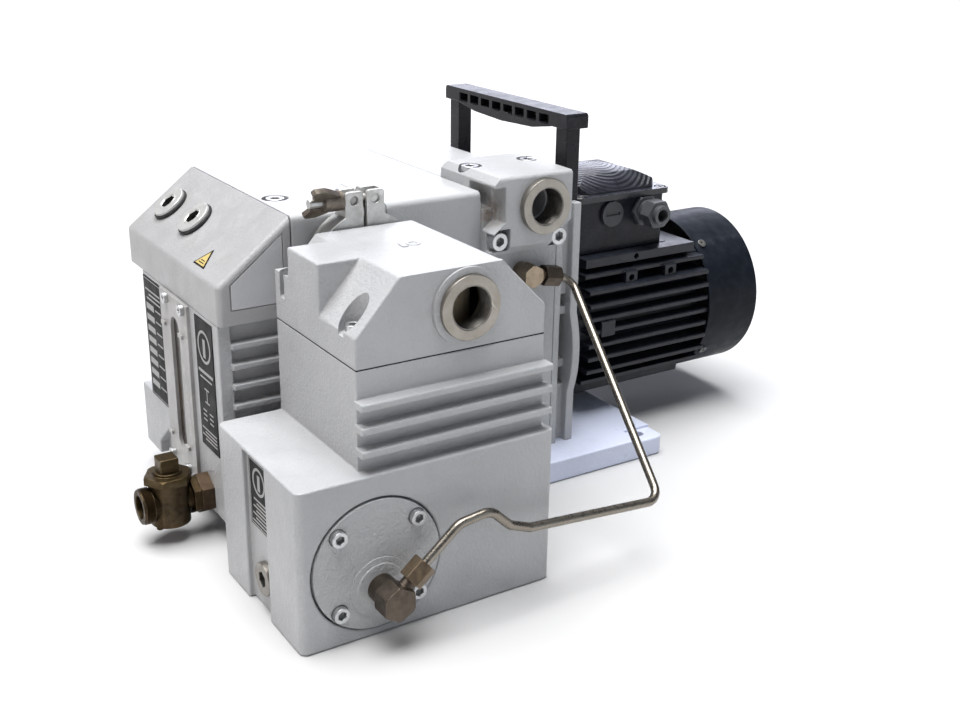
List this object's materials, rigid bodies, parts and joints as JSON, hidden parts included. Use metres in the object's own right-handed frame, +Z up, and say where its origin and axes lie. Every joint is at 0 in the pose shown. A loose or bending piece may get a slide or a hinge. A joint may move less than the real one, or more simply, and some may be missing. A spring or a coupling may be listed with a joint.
{
  "type": "rotary vane vacuum pump",
  "caption": "Two-stage oil-sealed rotary vane vacuum pump with a flanged motor, carrying handle, oil mist filter with oil return line, and a drain valve.",
  "frame": {"origin": "centre of the four fixing slots of the base, on the floor, in the plane of the shaft", "axes": "+X along the shaft from the oil case to the motor fan, +Z up, and the filter on the -Y side"},
  "size_m": [0.5445, 0.3725, 0.272],
  "materials": {
    "oil_case": "light grey paint, satin, on a sand casting",
    "hood": "light grey paint, satin, on a sand casting",
    "pump_case": "light grey paint, satin, on a sand casting",
    "exhaust_deck": "light grey paint, satin, on a sand casting",
    "top_cover": "light grey paint, satin, on a sand casting",
    "intake_block": "light grey paint, satin, on a sand casting",
    "bell_housing": "light grey paint, satin, on a sand casting",
    "base_plate": "light grey paint, satin, on a sand casting",
    "filter_case": "light grey paint, satin, on a sand casting",
    "filter_lid": "light grey paint, satin, on a sand casting",
    "filter_cover": "light grey paint, satin, on a sand casting",
    "hood_side_inserts": "light grey, satin",
    "sight_frame": "light grey, satin",
    "sight_glass": "clear, with brown oil behind it",
    "labels": "printed film",
    "fill_plugs": "zinc plated",
    "cap_screws_m8": "zinc plated",
    "filter_screws": "zinc plated",
    "small_screws": "zinc plated",
    "filter_drain_plug": "zinc plated",
    "port_rings": "turned, satin",
    "drain_adapter": "aged",
    "drain_valve_body": "aged",
    "drain_valve_bonnet": "aged",
    "drain_valve_stem": "aged",
    "elbow_fittings": "plated, brownish",
    "fitting_nuts": "plated, brownish",
    "oil_return_tube": "bright drawn tube",
    "clamp_half_fixed": "grey, cast and machined",
    "clamp_half_hinged": "grey, cast and machined",
    "clamp_pins": "grey, cast and machined",
    "clamp_swing_bolt": "grey, cast and machined",
    "clamp_wing_nut": "grey, cast and machined",
    "retention_disc": "machined",
    "plain_bushes": "machined",
    "stator_ring_high": "ground faces",
    "stator_ring_low": "ground faces",
    "end_plates": "ground faces",
    "rotor_high": "ground faces",
    "rotor_low": "ground faces",
    "coupling_hubs": "ground faces",
    "vanes": "fibre composite",
    "shaft_seal": "matt",
    "coupling_spider": "matt",
    "rubber_feet": "matt",
    "handle_grip": "black, satin",
    "handle_uprights": "black, satin",
    "cable_gland": "black, satin",
    "blanking_plug": "black, satin",
    "fan": "black, satin",
    "filter_element": "fibre wound",
    "float_arm": "bright",
    "motor_end_shield": "black paint, semi gloss",
    "motor_frame": "black paint, semi gloss",
    "terminal_box": "black paint, semi gloss",
    "terminal_lid": "black paint, semi gloss",
    "motor_stator": "machined and laminated",
    "motor_rotor": "machined and laminated",
    "motor_bearings": "machined and laminated",
    "fan_cowl": "black paint on pressed sheet"
  },
  "bodies": {
    "pump": {"oil_case": "oil_case", "hood": "hood", "pump_case": "pump_case", "exhaust_deck": "exhaust_deck", "top_cover": "top_cover", "intake_block": "intake_block", "bell_housing": "bell_housing", "base_plate": "base_plate", "filter_case": "filter_case", "filter_lid": "filter_lid", "filter_cover": "filter_cover", "hood_side_inserts": "hood_side_inserts", "sight_frame": "sight_frame", "sight_glass": "sight_glass", "labels": "labels", "fill_plugs": "fill_plugs", "cap_screws_m8": "cap_screws_m8", "filter_screws": "filter_screws", "small_screws": "small_screws", "filter_drain_plug": "filter_drain_plug", "port_rings": "port_rings", "drain_adapter": "drain_adapter", "drain_valve_body": "drain_valve_body", "drain_valve_bonnet": "drain_valve_bonnet", "elbow_fittings": "elbow_fittings", "fitting_nuts": "fitting_nuts", "oil_return_tube": "oil_return_tube", "clamp_half_fixed": "clamp_half_fixed", "clamp_half_hinged": "clamp_half_hinged", "clamp_pins": "clamp_pins", "clamp_swing_bolt": "clamp_swing_bolt", "plain_bushes": "plain_bushes", "stator_ring_high": "stator_ring_high", "stator_ring_low": "stator_ring_low", "end_plates": "end_plates", "shaft_seal": "shaft_seal", "rubber_feet": "rubber_feet", "handle_grip": "handle_grip", "handle_uprights": "handle_uprights", "cable_gland": "cable_gland", "blanking_plug": "blanking_plug", "filter_element": "filter_element", "motor_end_shield": "motor_end_shield", "motor_frame": "motor_frame", "terminal_box": "terminal_box", "terminal_lid": "terminal_lid", "motor_stator": "motor_stator", "motor_bearings": "motor_bearings", "fan_cowl": "fan_cowl"},
    "shaft_line": {"rotor_high": "rotor_high", "rotor_low": "rotor_low", "vanes": "vanes", "coupling_hubs": "coupling_hubs", "coupling_spider": "coupling_spider", "motor_rotor": "motor_rotor", "fan": "fan"},
    "drain_stem": {"drain_valve_stem": "drain_valve_stem"},
    "wing_nut": {"clamp_wing_nut": "clamp_wing_nut"},
    "float": {"float_arm": "float_arm"},
    "retention": {"retention_disc": "retention_disc"}
  },
  "joints": [
    {"name": "shaft_spin", "type": "hinge", "parent": "pump", "child": "shaft_line", "pos_m": [0, 0, 0.091], "axis": [1, 0, 0], "continuous": true},
    {"name": "drain_turn", "type": "hinge", "parent": "pump", "child": "drain_stem", "pos_m": [-0.291, -0.049, 0.04], "axis": [0, 0, 1], "range_deg": [0, 90]},
    {"name": "wing_nut_turn", "type": "hinge", "parent": "pump", "child": "wing_nut", "pos_m": [-0.187, -0.1015, 0.2355], "axis": [-1, 0, 0], "continuous": true},
    {"name": "float_swing", "type": "hinge", "parent": "pump", "child": "float", "pos_m": [-0.2255, -0.209, 0.063], "axis": [1, 0, 0], "range_deg": [0, 15]},
    {"name": "retention_lift", "type": "slide", "parent": "pump", "child": "retention", "axis": [0, 0, 1], "range_m": [0, 0.008]}
  ]
}
